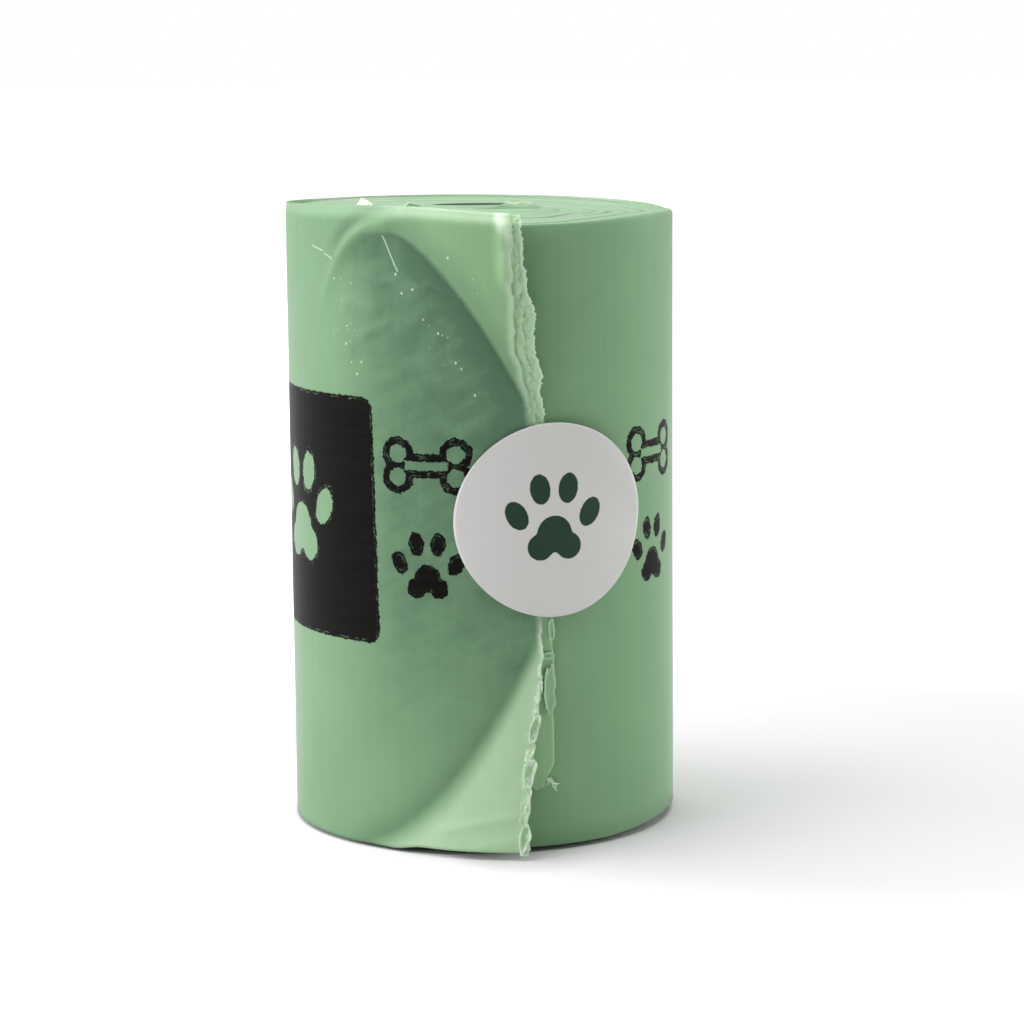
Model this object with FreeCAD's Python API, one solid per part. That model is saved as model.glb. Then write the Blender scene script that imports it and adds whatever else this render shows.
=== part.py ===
import FreeCAD, Part
import math
import os

# A roll of folded film bags that stands on one end, in millimetres.
# The roll's axis is Z and the end that it stands on is the plane z = 0.
# Angles are in degrees round that axis: 0 is the front (-Y) and 90 is +X.
# The web of bags is wound with no core. Its last turn ends in a torn edge at the front,
# where a round paper seal holds it at mid-height. The two corners of that loose end
# lift off the roll along diagonal folds.

# The wound turns
roll_length = 61.2        # width of the folded web, so the height on end
roll_radius = 19.4        # outside of the turns under the last one
hollow_radius = 4.8       # hole that the winding mandrel left
rim_slant = 0.9           # how far the edges of the web roll over at the outer rims
gap_pitch = 1.7           # radial distance between the open gaps seen at each end
gap_width = 0.34
gap_depth = 1.0
gap_chords = 24           # straight chords that make one turn of a gap
gap_inner_wall = 1.0      # closed turns beside the hollow
gap_outer_wall = 1.3      # closed turns under the last one

# The last turn
web_thickness = 0.25      # all the plies of the folded web pressed together
slit = 0.05               # air under the last turn where it lies flat
turn_start = -270.0       # where the last turn begins to show
turn_start_step = 0.05
turn_bond = 0.3           # how deep the last turn's tight stretch reaches into the roll
flap_start = -70.0        # where the last turn comes free of the roll
flap_root = 2.0           # angle that the flap reaches back into the tight stretch
flap_seam_step = 0.05
flap_end = 25.0           # untrimmed end of the flap, past the tear
flap_columns = 20         # bends that the flap has round the roll
edge_rise = 0.55          # how far the last turn stands out of the top end, at the axis
edge_tilt = 1.9           # slope of that edge, since the web is wound a little askew
edge_high_angle = -57.0   # where the edge is highest
edge_clear = 0.3          # height of its bottom edge above the ground
trim_margin = 1.0         # how far the sheet is made past its edges before they are cut

# The torn edge, in the direction seen from the front
tear_x = 6.3              # where it crosses mid-height
tear_draw_top = 2.3       # how far it is drawn back to -X at the top end
tear_draw_bottom = 2.4
tooth_pitch = 1.7
tooth_depth = 0.45

# The lifted corners, as lines over the unrolled web: along it from the front, and up
top_fold_left = -13.3
top_fold_right = 5.7
top_fold_drop = 18.0      # height that the fold loses from its left end to its right end
top_fold_bow = 1.15
top_lift = 1.6            # how far the upper corner stands off the roll
top_slope_width = 2.8     # width of the slope that comes back down to the roll
ridge_lift = 0.6          # small second fold that runs down from the upper one's left end
ridge_width = 1.3
ridge_length = 8.6
ridge_drop = 6.0
bottom_fold_left = -12.5
bottom_fold_right = 6.3
bottom_fold_rise = 20.4
bottom_fold_bow = 1.65
bottom_flare = 0.37       # slope at which the lower corner leaves the roll
fold_softness = 1.6       # distance over which the lower fold turns
lip_height = 1.2          # height over which the top edge curls in
lip_inset = 0.6

# The second ply, whose own torn edge shows beside the first
ply_left = 3.0
ply_x = 7.3
ply_top = 26.0
ply_bottom = 6.4
ply_lift = 0.16

# The seal
seal_diameter = 19.05
seal_thickness = 0.14
seal_angle = 20.0
seal_height = 32.6
seal_hold_angle = 10.0    # where it lies closest to the last turn
seal_hold_width = 3.0     # how far round the seal it presses the folds flat
seal_bend = 1.8           # how much larger its bend is than the last turn's
seal_clearance = 0.2      # above the last turn there, so that print passes under it
seal_print_thickness = 0.03
seal_paw_size = 9.6

# The print on the film, placed along the web from the front and up
ink_thickness = 0.05
ink_clearance = 0.03
mark_sides = 8            # straight sides round each small dot of a mark
panel_size = 24.3
panel_right = -11.1
panel_bottom = 20.1
panel_corner = 1.3
panel_paw_size = 12.5
bone_row = 38.2           # height of the thin row's middle
bone_length = 9.2
bone_height = 5.6
bone_stroke = 0.75
paw_row = 28.2            # height of the bold row's middle
paw_size = 7.4
row_start = -5.6          # middle of the first mark of both rows
row_pitch = 13.1
row_count = 3

web_radius = roll_radius + slit + web_thickness
far = 3 * roll_radius     # well outside the roll
V = FreeCAD.Vector
ORIGIN = V(0, 0, 0)
UP = V(0, 0, 1)


def at(angle, radius, z=0.0):
    """The point at an angle, a radius and a height."""
    turn = math.radians(angle)
    return V(radius * math.sin(turn), -radius * math.cos(turn), z)


def smooth(share):
    """0 below 0, 1 above 1, and an even S between them."""
    share = min(max(share, 0.0), 1.0)
    return share * share * (3 - 2 * share)


def evenly(first, last, count):
    return [first + (last - first) * i / count for i in range(count + 1)]


def ring_sector(start, end, inner, outer_start, outer_end, low, height):
    """A stretch of wall round the axis, whose outer face may grow on its way round."""
    middle = (start + end) / 2
    outline = Part.Wire([
        Part.Arc(at(start, inner), at(middle, inner), at(end, inner)).toShape(),
        Part.makeLine(at(end, inner), at(end, outer_end)),
        Part.Arc(at(end, outer_end), at(middle, (outer_start + outer_end) / 2),
                 at(start, outer_start)).toShape(),
        Part.makeLine(at(start, outer_start), at(start, inner)),
    ])
    outline.translate(V(0, 0, low))
    return Part.Face(outline).extrude(V(0, 0, height))


def strip(one, other):
    """Flat facets between two rows of points."""
    faces = []
    for a, b, c, d in zip(one, one[1:], other[1:], other):
        faces += [Part.Face(Part.makePolygon([a, b, c, a])), Part.Face(Part.makePolygon([a, c, d, a]))]
    return faces


def closed(faces):
    """The solid inside a set of facets."""
    shell = Part.makeShell(faces)
    shell.sewShape()
    solid = Part.makeSolid(shell)
    if solid.Volume < 0:
        solid.reverse()
    return solid


# ---------------------------------------------------------------- wound turns

def turns_body():
    """The turns under the last one: a drum with slanted rims and the mandrel's hollow."""
    drum = Part.makeCylinder(roll_radius, roll_length)
    rims = [e for e in drum.Edges if isinstance(e.Curve, Part.Circle)]
    drum = drum.makeChamfer(rim_slant, rims)
    return drum.cut(Part.makeCylinder(hollow_radius, roll_length))


def spiral_gap(end, inward):
    """The open gap between turns at one end: a notch that winds outwards from the hollow."""
    first, last = hollow_radius + gap_inner_wall, roll_radius - gap_outer_wall
    steps = int((last - first) / gap_pitch * gap_chords)
    corners = ((-gap_width, end - inward * gap_depth), (0, end + inward * gap_depth),
               (gap_width, end - inward * gap_depth))
    rows = [[at(360 * i / gap_chords, first + gap_pitch * i / gap_chords + across, z)
             for i in range(steps + 1)] for across, z in corners]
    faces = [Part.Face(Part.makePolygon([row[k] for row in rows + rows[:1]])) for k in (0, -1)]
    for row, following in zip(rows, rows[1:] + rows[:1]):
        faces += strip(row, following)
    return closed(faces)


# ---------------------------------------------------------------- last turn

def top_edge(x, y):
    """Height of the last turn's top edge over a place."""
    toward = at(edge_high_angle, 1)
    return roll_length + edge_rise + math.tan(math.radians(edge_tilt)) * (x * toward.x + y * toward.y)


def top_fold(along):
    """Height of the upper fold, and of the ridge to its left, at a distance along the web."""
    share = (along - top_fold_left) / (top_fold_right - top_fold_left)
    run = (top_fold_left - along) / ridge_length
    return roll_length - top_fold_drop * max(share, 0.0) ** top_fold_bow - ridge_drop * max(run, 0.0) ** 2


def bottom_fold(along):
    """Height of the lower fold at a distance along the web."""
    share = (along - bottom_fold_left) / (bottom_fold_right - bottom_fold_left)
    return bottom_fold_rise * max(share, 0.0) ** bottom_fold_bow


def slant(fold, along, step=0.1):
    """How much longer a fold is than its run along the web."""
    return math.hypot(1, (fold(along + step) - fold(along)) / step)


def lift(along, z):
    """How far the loose end stands off the roll at a point of the unrolled web."""
    above = (z - top_fold(along)) / slant(top_fold, along)
    started = smooth((along - top_fold_left) / (2 * top_slope_width) + 0.5)
    corner = top_lift * smooth(1 + above / top_slope_width) * started

    below = max((bottom_fold(along) - z) / slant(bottom_fold, along), 0.0)
    flare = bottom_flare * below ** 2 / (below + fold_softness)

    run = (top_fold_left - along) / ridge_length
    ridge = ridge_lift * math.exp(-(above / ridge_width) ** 2) * smooth(1.2 - run) * (1 - started)

    from_seal = math.hypot(along - math.radians(seal_angle) * web_radius, z - seal_height)
    free = smooth((from_seal - seal_diameter / 2) / seal_hold_width)
    return (corner + flare + ridge) * free


def flap_point(angle, z, depth):
    """A point of the flap, a depth inside its outer face."""
    along = math.radians(angle) * web_radius
    edge = top_edge(*at(angle, web_radius)[:2])
    curl = lip_inset * smooth((z - edge + lip_height) / lip_height)
    curl *= smooth((angle - flap_start) / (top_fold_left - flap_start))
    return at(angle, web_radius + lift(along, z) - curl - depth, z)


def flap_heights(angle):
    """Heights of the flap's bends in one column: they follow the folds and the curled lip."""
    along = math.radians(angle) * web_radius
    lower, upper = bottom_fold(along), top_fold(along)
    low, high = edge_clear - trim_margin, top_edge(*at(angle, web_radius)[:2]) + trim_margin
    lip = high - trim_margin - lip_height
    soft = fold_softness * slant(bottom_fold, along)
    wide = top_slope_width * slant(top_fold, along)
    bends = [lower / 2, lower - soft, lower, upper - wide, upper - wide / 2, upper,
             upper + wide / 2, (upper + lip) / 2, lip, lip + lip_height / 2]
    heights = [low]
    for i, bend in enumerate(sorted(bends)):
        least = heights[-1] + trim_margin / len(bends) / 2
        most = high - (len(bends) - i) * trim_margin / len(bends) / 2
        heights.append(min(max(bend, least), most))
    return heights + [high]


def flap():
    """The free stretch of the last turn as one thin bent sheet, still untrimmed."""
    angles = evenly(flap_start - flap_root, flap_end, flap_columns)
    outer, inner = ([[flap_point(a, z, depth) for z in flap_heights(a)] for a in angles]
                    for depth in (0.0, web_thickness))
    faces = strip(outer[0], inner[0]) + strip(outer[-1], inner[-1])
    faces += strip([c[0] for c in outer], [c[0] for c in inner])
    faces += strip([c[-1] for c in outer], [c[-1] for c in inner])
    for grid in (outer, inner):
        for column, following in zip(grid, grid[1:]):
            faces += strip(column, following)
    return closed(faces)


def slab_over_top_edge():
    """Everything above the last turn's top edge."""
    box = Part.makeBox(2 * far, 2 * far, far, V(-far, -far, 0))
    box.rotate(ORIGIN, at(edge_high_angle, 1).cross(UP), edge_tilt)
    box.translate(V(0, 0, top_edge(0, 0)))
    return box


def tear_place(z):
    """Where the torn edge runs across the front, at a height."""
    low, high = roll_length * 0.35, roll_length * 0.65
    up = smooth((z - high) / (roll_length - high)) ** 0.8
    return tear_x - tear_draw_top * up - tear_draw_bottom * smooth(1 - z / low)


def tear_cutter(place, low, high, phase):
    """Everything past a ragged line across the front, from a low height to a high one."""
    teeth = 2 * int((high - low) / tooth_pitch)
    points = []
    for i, z in enumerate(evenly(low, high, teeth)):
        half = tooth_depth * (0.3 + 0.2 * math.sin(phase + 2.3 * i))
        points.append(V(place(z) + (half if i % 2 else -half), -far, z))
    points += [V(far, -far, high), V(far, -far, low), points[0]]
    return Part.Face(Part.makePolygon(points)).extrude(V(0, far, 0))


def last_turn():
    """The tight stretch and the flap, cut to their top, bottom and torn edges."""
    tight = ring_sector(turn_start, flap_start, roll_radius - turn_bond,
                        roll_radius + turn_start_step, web_radius - flap_seam_step,
                        edge_clear, roll_length + far / 10)
    below = Part.makeBox(2 * far, 2 * far, far, V(-far, -far, edge_clear - far))
    torn = flap().cut(tear_cutter(tear_place, -far / 10, roll_length + far / 10, 0.0)).cut(below)
    return tight.fuse(torn).cut(slab_over_top_edge())


def second_ply():
    """The strip of the ply below, past the first one's torn edge."""
    left, right = (math.degrees(math.asin(x / roll_radius)) for x in (ply_left, ply_x + tooth_pitch))
    outer = roll_radius + ply_lift
    wall = ring_sector(left, right, roll_radius - turn_bond, outer, outer,
                       ply_bottom, ply_top - ply_bottom)
    return wall.cut(tear_cutter(lambda z: ply_x, ply_bottom, ply_top, 1.0))


def film_roll():
    body = turns_body()
    body = body.cut([spiral_gap(roll_length, -1), spiral_gap(0.0, 1)])
    return body.fuse([last_turn(), second_ply()])


# ---------------------------------------------------------------- marks

def dot(x, y, radius, squash=1.0, tilt=0.0):
    """A flat face with mark_sides straight sides, round or drawn out to an oval."""
    lean = math.radians(tilt)
    corners = []
    for i in range(mark_sides):
        turn = 2 * math.pi * (i + 0.5) / mark_sides
        across, up = radius * math.cos(turn), squash * radius * math.sin(turn)
        corners.append(V(x + across * math.cos(lean) - up * math.sin(lean),
                         y + across * math.sin(lean) + up * math.cos(lean), 0))
    return Part.Face(Part.makePolygon(corners + corners[:1]))


def paw(size):
    """Four toes and a pad, as wide as size."""
    toes = [dot(side * out * size, up * size, 0.155 * size, 0.68, 90 - side * lean)
            for side in (-1, 1) for out, up, lean in ((0.39, 0.06, 28), (0.15, 0.32, 8))]
    lobes = [dot(side * 0.15 * size, -0.27 * size, 0.14 * size) for side in (-1, 1)]
    pad = dot(0, -0.14 * size, 0.19 * size).fuse(lobes).removeSplitter()
    return toes + pad.Faces


def bone(length, height, stroke):
    """The outline of a bone in one even stroke."""
    knob = height / 3.4
    ends = [dot(sx * (length / 2 - knob), sy * (height / 2 - knob), knob)
            for sx in (-1, 1) for sy in (-1, 1)]
    bar = Part.makePlane(length - 2 * knob, knob * 1.5, V(knob - length / 2, -knob * 0.75, 0))
    whole = bar.fuse(ends).removeSplitter().Faces[0]
    return whole.cut(whole.makeOffset2D(-stroke, 2)).Faces


def pressed(faces, angle, height, skin):
    """Flat marks pressed on to a thin skin round the roll, facing out at an angle."""
    out = at(angle, far)
    across = at(angle + 90, 1)
    placing = FreeCAD.Placement(V(0, 0, height), FreeCAD.Rotation(across, UP, out, "XZY"))
    solids = []
    for face in faces:
        moved = face.copy()
        moved.Placement = placing.multiply(moved.Placement)
        solids += moved.extrude(out).common(skin).Solids
    return solids


def tube(inner, thickness, centre=ORIGIN):
    base = centre - V(0, 0, roll_length)
    hole = Part.makeCylinder(inner, 3 * roll_length, base)
    return Part.makeCylinder(inner + thickness, 3 * roll_length, base).cut(hole)


# ---------------------------------------------------------------- seal

def seal_skin(depth, thickness):
    """The thin curved sheet that the seal or its print is cut from."""
    bend = web_radius + seal_clearance + seal_bend
    return tube(bend + depth, thickness, at(seal_hold_angle, -seal_bend))


def seal_sticker():
    blank = Part.Face(Part.Wire(Part.makeCircle(seal_diameter / 2)))
    return pressed([blank], seal_angle, seal_height, seal_skin(0, seal_thickness))[0]


def sticker_print():
    skin = seal_skin(seal_thickness + ink_clearance, seal_print_thickness)
    return Part.makeCompound(pressed(paw(seal_paw_size), seal_angle, seal_height, skin))


# ---------------------------------------------------------------- print on the film

def panel():
    """A solid field with rounded corners and a paw left open in it."""
    inner = web_radius + ink_clearance
    left = panel_right - panel_size
    start, middle, end = (math.degrees(x / web_radius)
                          for x in (left, (left + panel_right) / 2, panel_right))
    outer = inner + ink_thickness
    field = ring_sector(start, end, inner, outer, outer, panel_bottom, panel_size)
    corners = [e for e in field.Edges if e.Length < 2 * ink_thickness]
    field = field.makeFillet(panel_corner, corners)
    opening = pressed(paw(panel_paw_size), middle, panel_bottom + panel_size / 2, tube(inner - 1, 2))
    return field.cut(opening).Solids


def rows():
    """A row of thin bones over a row of bold paws, on the last turn and on the one below it."""
    solids = []
    tear = math.degrees(math.asin(tear_x / web_radius))
    half = math.degrees(bone_length / 2 / web_radius)
    for i in range(row_count):
        angle = math.degrees((row_start + i * row_pitch) / web_radius)
        if abs(angle - tear) < half:
            continue
        skin = tube((web_radius if angle < tear else roll_radius) + ink_clearance, ink_thickness)
        solids += pressed(bone(bone_length, bone_height, bone_stroke), angle, bone_row, skin)
        solids += pressed(paw(paw_size), angle, paw_row, skin)
    return solids


def black_print():
    return Part.makeCompound(panel() + rows())


def main():
    os.makedirs("parts", exist_ok=True)
    shapes = {"film_roll": film_roll(), "seal_sticker": seal_sticker(),
              "sticker_print": sticker_print(), "black_print": black_print()}
    for name, shape in shapes.items():
        print(name, shape.isValid(), len(shape.Solids), round(shape.Volume, 2), shape.BoundBox)
        shape.exportStep("parts/" + name + ".step")


main()
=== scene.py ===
import math

import bmesh
import bpy
from mathutils import Matrix, Vector, noise


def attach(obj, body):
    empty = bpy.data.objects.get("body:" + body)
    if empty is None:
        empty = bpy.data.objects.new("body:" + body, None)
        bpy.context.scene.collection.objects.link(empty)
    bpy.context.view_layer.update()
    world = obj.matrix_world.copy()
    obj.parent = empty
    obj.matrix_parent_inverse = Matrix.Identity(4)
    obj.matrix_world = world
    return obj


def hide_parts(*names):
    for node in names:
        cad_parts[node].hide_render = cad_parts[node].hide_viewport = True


bl_info = {
    "name": "Bag roll",
    "version": (1, 0, 0),
    "blender": (4, 5, 0),
    "location": "View3D > Sidebar > Bag roll",
    "description": "Builds the film, the torn edge, the seal and the print of a roll of dog waste bags",
    "category": "Object",
}

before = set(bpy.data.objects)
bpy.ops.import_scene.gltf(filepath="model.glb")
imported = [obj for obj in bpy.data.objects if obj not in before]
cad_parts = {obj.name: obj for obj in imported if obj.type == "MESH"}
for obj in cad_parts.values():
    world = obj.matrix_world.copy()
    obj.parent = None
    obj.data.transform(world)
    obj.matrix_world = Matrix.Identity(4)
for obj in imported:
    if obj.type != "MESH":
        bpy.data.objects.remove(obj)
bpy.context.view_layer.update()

MM = 0.001
DEG = math.pi / 180
TAU = 2 * math.pi
NEAR = 1e-7               # metres, for points that are one
WEB_MAP = "Web"           # the UV map that unrolls the film
PALE = "Pale"             # how pale the film is: stretched white at tears, painted highlight on the last turn's top edge and corner, painted light on its flared lower corner
LOOSE = "Loose"           # how far the film stands off the turns below
PAINTED_SHADE = "Cling"           # painted shade: how far the film is darkened in the folds' creases and valleys, beside the tear and in the hollow
ENDS = "Ends"             # where the edges of the wound film show
DEEP = "Deep"             # where the film lies in the dark of the hollow
MAP_SPAN = 0.2            # metres of web, along and up, that fill the UV map
MAP_START = (0.5, 0.1)    # where the front of the roll and the ground lie in the UV map
END_PLACE = 0.1           # metres along the web where the film of the ends is mapped, past the print
HOLLOW_PLACE = 0.2        # the same for the film of the hollow


# ---- settings

def length(name, description, millimetres):
    return bpy.props.FloatProperty(name=name, description=description, default=millimetres * MM,
                                   subtype="DISTANCE", unit="LENGTH", precision=5)


def angle(name, description, degrees):
    return bpy.props.FloatProperty(name=name, description=description, default=degrees * DEG,
                                   subtype="ANGLE", unit="ROTATION")


def tint(name, description, colour):
    return bpy.props.FloatVectorProperty(name=name, description=description, default=colour,
                                         subtype="COLOR", size=3, min=0.0, max=1.0)


def share(name, description, value):
    return bpy.props.FloatProperty(name=name, description=description, default=value,
                                   subtype="FACTOR", min=0.0, max=1.0)


class RollSettings(bpy.types.PropertyGroup):
    length: length("Length", "Width of the folded web, so the height on end", 61.7)
    radius: length("Radius", "Outside of the turns under the last one", 19.4)
    hollow: length("Hollow radius", "Hole down the middle", 4.8)
    rim: length("Rim", "How far the edges of the web round over at the outer rims", 0.25)
    raised: length("Raised side", "How far the right side's rim stands off the ground", 1.0)
    stand: length("Raised front", "How far the front's rim stands off the ground", 0.5)
    raised_from: length("Raised from", "Radius outside which the turns are raised", 16.5)
    gap_pitch: length("Gap pitch", "Radial distance between open gaps at the ends", 1.7)
    gap_first: length("First gap", "Radius at which the gap starts at the front", 5.8)
    gap_depth: length("Gap depth", "Depth of an open gap between turns", 0.5)


class LastTurnSettings(bpy.types.PropertyGroup):
    radius: length("Radius", "Outside of the last turn where it lies flat", 19.7)
    start: angle("Start", "Where the last turn begins to show", -270)
    sheet: length("Film", "Thickness of the sheet at its torn edge", 0.12)
    bottom: length("Bottom edge", "Height of the bottom edge above the ground at the front", 0.78)
    bottom_left: length("Left bottom edge", "Height of the bottom edge above the ground at the left", 0.33)
    top_rise: length("Top rise", "How far the top edge stands out of the turns on the whole", 1.1)
    top_swing: length("Top swing", "How much more it stands out on its high side", 0.7)
    top_high: angle("High side", "Where the top edge is highest", -12)
    upper_lift: length("Upper lift", "How far the upper corner stands off the roll", 1.6)
    upper_slope: length("Upper slope", "How soon the upper corner leaves the roll past its fold", 3.6)
    upper_puff: length("Upper puff", "How far the sheet puffs out before the upper fold", 0.6)
    lower_flare: share("Lower flare", "Slope at which the lower corner leaves the roll", 0.36)


class TearSettings(bpy.types.PropertyGroup):
    ply: length("Ply", "Thickness of one torn ply", 0.1)
    upper_set_back: length("Set back", "How far the outer ply stops short of the others at the top", 1.0)
    ragged: length("Raggedness", "How far the tear wanders to either side", 0.2)
    second_left: length("Second ply from", "Where the second ply starts, beside the axis", 2.0)
    second_right: length("Second ply to", "Where the second ply ends, beside the axis", 6.6)
    second_bottom: length("Second ply's foot", "Height of the second ply's lower end", 6.4)
    second_top: length("Second ply's head", "Height of the second ply's upper end", 26.0)


class FilmSettings(bpy.types.PropertyGroup):
    green: tint("Green", "Film that lies tight on the roll", (0.222, 0.396, 0.218))
    loose: tint("Loose", "Film that stands off the roll", (0.33, 0.56, 0.295))
    # painted shade: the dark green laid into the sheet's creases and valleys, beside the tear and in the
    # hollow
    shaded: tint("Shaded", "Film pressed onto the turns below", (0.115, 0.225, 0.13))
    # the pale tint is also the painted highlight on the last turn's top edge and corner and the painted
    # light on its flared lower corner
    pale: tint("Pale", "Film stretched white at a tear", (0.74, 0.92, 0.71))
    ink: tint("Black ink", "Print on the film", (0.005, 0.005, 0.004))
    gloss: share("Roughness", "Roughness of the film", 0.4)
    sheen: share("Sheen", "Pale sheen of the film seen edge on", 0.28)


class SealSettings(bpy.types.PropertyGroup):
    diameter: length("Diameter", "Size of the paper seal", 19.05)
    thickness: length("Thickness", "Thickness of the paper", 0.14)
    place: angle("Angle", "Place of the seal round the roll", 20)
    height: length("Height", "Height of the seal's middle", 33.1)
    slack: length("Slack", "How much less the seal is bent than the roll", 1.8)
    paper: tint("Paper", "Seal's paper", (0.685, 0.695, 0.665))
    ink: tint("Green ink", "Print on the seal", (0.004, 0.04, 0.018))


class StageSettings(bpy.types.PropertyGroup):
    lens: bpy.props.FloatProperty(name="Lens", description="Focal length on a 36 mm sensor",
                                  default=111.8, unit="CAMERA")
    distance: length("Distance", "Camera's distance in front of the roll's axis", 322.5)
    height: length("Height", "Camera's height above the ground", 83.0)
    pitch: angle("Pitch", "How far the camera looks down", 9.178)
    yaw: angle("Yaw", "How far the camera looks to the right", 0.515)
    lean: angle("Lean", "How far the camera leans to one side", -0.52)


SETTINGS = {"bag_roll": RollSettings, "bag_last_turn": LastTurnSettings, "bag_tear": TearSettings,
            "bag_film": FilmSettings, "bag_seal": SealSettings, "bag_stage": StageSettings}


# ---- the shape of the web

def at(turned, radius, z=0.0):
    """The point at an angle from the front, a radius and a height."""
    return Vector((radius * math.sin(turned), -radius * math.cos(turned), z))


def smooth(x):
    x = min(max(x, 0.0), 1.0)
    return x * x * (3 - 2 * x)


def ease(x, start, run):
    """Rises softly from 0 at the start to 1 at the end of the run."""
    return smooth((x - start) / run)


def hill(x, middle, half):
    """A soft hill of height 1, which ends half its width to either side of its middle."""
    return smooth(1 - abs((x - middle) / half))


def ripple(x, y=0.0, seed=0.0):
    """Even noise from about -1 to 1, at a place given in units of its own grain."""
    return noise.noise(Vector((x, y, seed + 0.37)))


def grain(seed, x, wide, z=0.0, tall=1.0):
    """The same noise at a place in metres, with a grain some millimetres wide and tall."""
    return ripple(x / (wide * MM), z / (tall * MM), seed)


def ragged(z, seed):
    """A torn edge's wandering, from about -1 to 1."""
    return 1.1 * grain(seed, z, 1.5) + 0.7 * grain(seed + 5, z, 0.55) + 0.45 * grain(seed + 9, z, 0.22)


class Web:
    """The last turn as a sheet: along it from the front, and up, both in metres."""

    def __init__(self):
        scene = bpy.context.scene
        self.roll, self.turn = scene.bag_roll, scene.bag_last_turn
        self.seal, self.torn = scene.bag_seal, scene.bag_tear
        self.upper_left, self.upper_right = -9.3 * MM, 5.0 * MM
        self.lower_left, self.lower_right = -16.0 * MM, 5.4 * MM
        self.tear_x = 5.85 * MM
        self.upper_drop, self.lower_height = 18.4 * MM, 21.8 * MM
        self.leg, self.leg_drop = 8.3 * MM, 7.0 * MM
        # from x, z to x, z, then the width and the height, all in millimetres
        self.wrinkles = ((-5.3, 55.8, -1.9, 54.6, 0.28, -0.2), (-14.5, 57.3, -8.5, 55.6, 0.6, 0.26),
                         (-15.5, 54.2, -9.5, 53.2, 0.7, 0.24), (-13.5, 50.5, -8.5, 52.4, 0.5, 0.18),
                         (-16.5, 51.4, -13.0, 49.0, 0.6, 0.16), (1.8, 63.5, 2.2, 55.2, 0.55, 0.4),
                         (-6.0, 2.2, 4.0, 4.6, 0.5, 0.12), (-1.5, 1.2, 3.5, 2.0, 0.4, 0.1))

    def top(self, turned):
        """Height of the top edge, which drops a little towards the tear."""
        rise = self.turn.top_rise + self.turn.top_swing * math.cos(turned - self.turn.top_high)
        begun = ease(turned, self.turn.start, 70 * DEG)
        back = 0.2 * MM * hill(turned, -168 * DEG, 65 * DEG)
        corner = 0.6 * MM * ease(turned, -22 * DEG, 32 * DEG)
        return self.roll.length + (rise + back) * begun - corner

    def bottom(self, turned):
        rise = self.turn.bottom - self.turn.bottom_left
        return self.turn.bottom_left + rise * ease(turned, -28 * DEG, 10 * DEG)

    def upper_fold(self, along):
        """Height of the fold that frees the upper corner."""
        right = max((along - self.upper_left) / (self.upper_right - self.upper_left), 0.0)
        return self.roll.length - 0.7 * MM - self.upper_drop * right ** 1.57

    def left_leg(self, along):
        """Height of the short fold that runs down to the left from the upper fold's start."""
        left = max((self.upper_left - along) / self.leg, 0.0)
        return self.roll.length - self.leg_drop * left ** 2.3

    def lower_fold(self, along):
        """Height of the fold that frees the lower corner."""
        right = max((along - self.lower_left) / (self.lower_right - self.lower_left), 0.0)
        return self.lower_height * right ** 2.05

    def above(self, fold, along, z):
        """Distance from a fold, up and to the right of it."""
        step = 0.1 * MM
        return (z - fold(along)) / math.hypot(1, (fold(along + step) - fold(along)) / step)

    def past_upper(self, along, z):
        """Distance past the line where the sheet starts to leave the roll at the upper fold."""
        return self.above(self.upper_fold, along, z) - 0.15 * MM

    def wrinkle(self, along, z):
        """The short wrinkles around the upper fold: each a soft line with a width and a height."""
        total = 0.0
        for x0, z0, x1, z1, width, height in self.wrinkles:
            start, run = Vector((x0, z0)) * MM, Vector((x1 - x0, z1 - z0)) * MM
            way = Vector((along, z)) - start
            travelled = min(max(way.dot(run) / run.dot(run), 0.0), 1.0)
            off = (way - run * travelled).length / (width * MM)
            fade = smooth(4 * travelled) * smooth(4 * (1 - travelled))
            total += height * MM * math.exp(-off ** 2) * fade
        return total

    def lift(self, along, z):
        """How far the sheet stands off the roll."""
        past = self.past_upper(along, z)
        started = smooth((along - self.upper_left) / (3.0 * MM) + 0.35)
        corner = self.turn.upper_lift * (1 - math.exp(-max(past, 0.0) / self.turn.upper_slope)) * started
        puff = self.turn.upper_puff * (1 - math.exp(min(past, 0.0) / (1.2 * MM)))
        puff *= smooth(1 + past / (11 * MM)) * started
        leg = self.above(self.left_leg, along, z) / (0.7 * MM)
        run = (self.upper_left - along) / self.leg
        ridge = 0.6 * MM * math.exp(-leg ** 2) * smooth(1.25 - run) * (1 - started)
        over = self.above(self.lower_fold, along, z)
        below = max(-over, 0.0)
        flare = self.turn.lower_flare * below ** 2 / (below + 0.8 * MM)
        bulge = 0.4 * MM * (1 - math.exp(-max(over, 0.0) / (1.5 * MM))) * smooth(1 - over / (10 * MM))
        puff += bulge * ease(along, -17 * MM, 6 * MM)
        return (corner + puff + flare + ridge + self.wrinkle(along, z)) * self.free(along, z)

    def free(self, along, z):
        """0 under the seal, which holds the sheet down, and 1 well away from it."""
        from_seal = math.hypot(along - self.seal.place * self.turn.radius, z - self.seal.height)
        return ease(from_seal, self.seal.diameter / 2, 3.0 * MM)

    def flared(self, along, z):
        """1 on the lower corner, which leaves the roll, and 0 elsewhere."""
        below = -self.above(self.lower_fold, along, z)
        soft = (2.5 - 1.5 * smooth(z / (20 * MM))) * MM
        return smooth(below / soft)

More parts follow.
